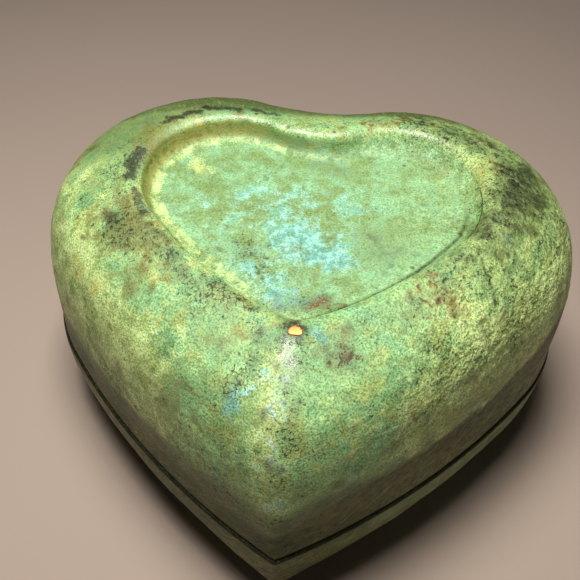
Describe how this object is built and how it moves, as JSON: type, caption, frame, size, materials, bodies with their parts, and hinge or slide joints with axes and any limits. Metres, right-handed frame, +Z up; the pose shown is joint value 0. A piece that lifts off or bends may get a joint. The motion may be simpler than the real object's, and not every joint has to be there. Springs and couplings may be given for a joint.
{
  "type": "heart-shaped trinket box",
  "caption": "Puffed heart trinket box in patinated cast bronze, with a sunk heart in the lift-off lid, a locating collar and a lined bowl.",
  "frame": {"origin": "on the rest plane and the symmetry plane, level with the centres of the seam heart's two lobes", "axes": "+Z up, the heart's tip along -Y, +X to the right of someone who has the tip towards them"},
  "size_m": [0.1196, 0.1045, 0.0667],
  "materials": {
    "lid_bronze": "mottled green patina over cast bronze, waxed satin",
    "base_bronze": "brown-green patina over cast bronze, waxed satin",
    "collar_brass": "dull rolled brass strip",
    "lining_velvet": "short-pile velvet over thin padding",
    "foot_felt": "pressed wool felt"
  },
  "bodies": {
    "base": {"base_shell": "base_bronze", "locating_collar": "collar_brass", "lining_pad": "lining_velvet", "foot_felt_pad": "foot_felt"},
    "lid": {"lid_shell": "lid_bronze"}
  },
  "joints": [
    {"name": "lid_lift", "type": "slide", "parent": "base", "child": "lid", "axis": [0, 0, 1], "range_m": [0, 0.07]}
  ]
}
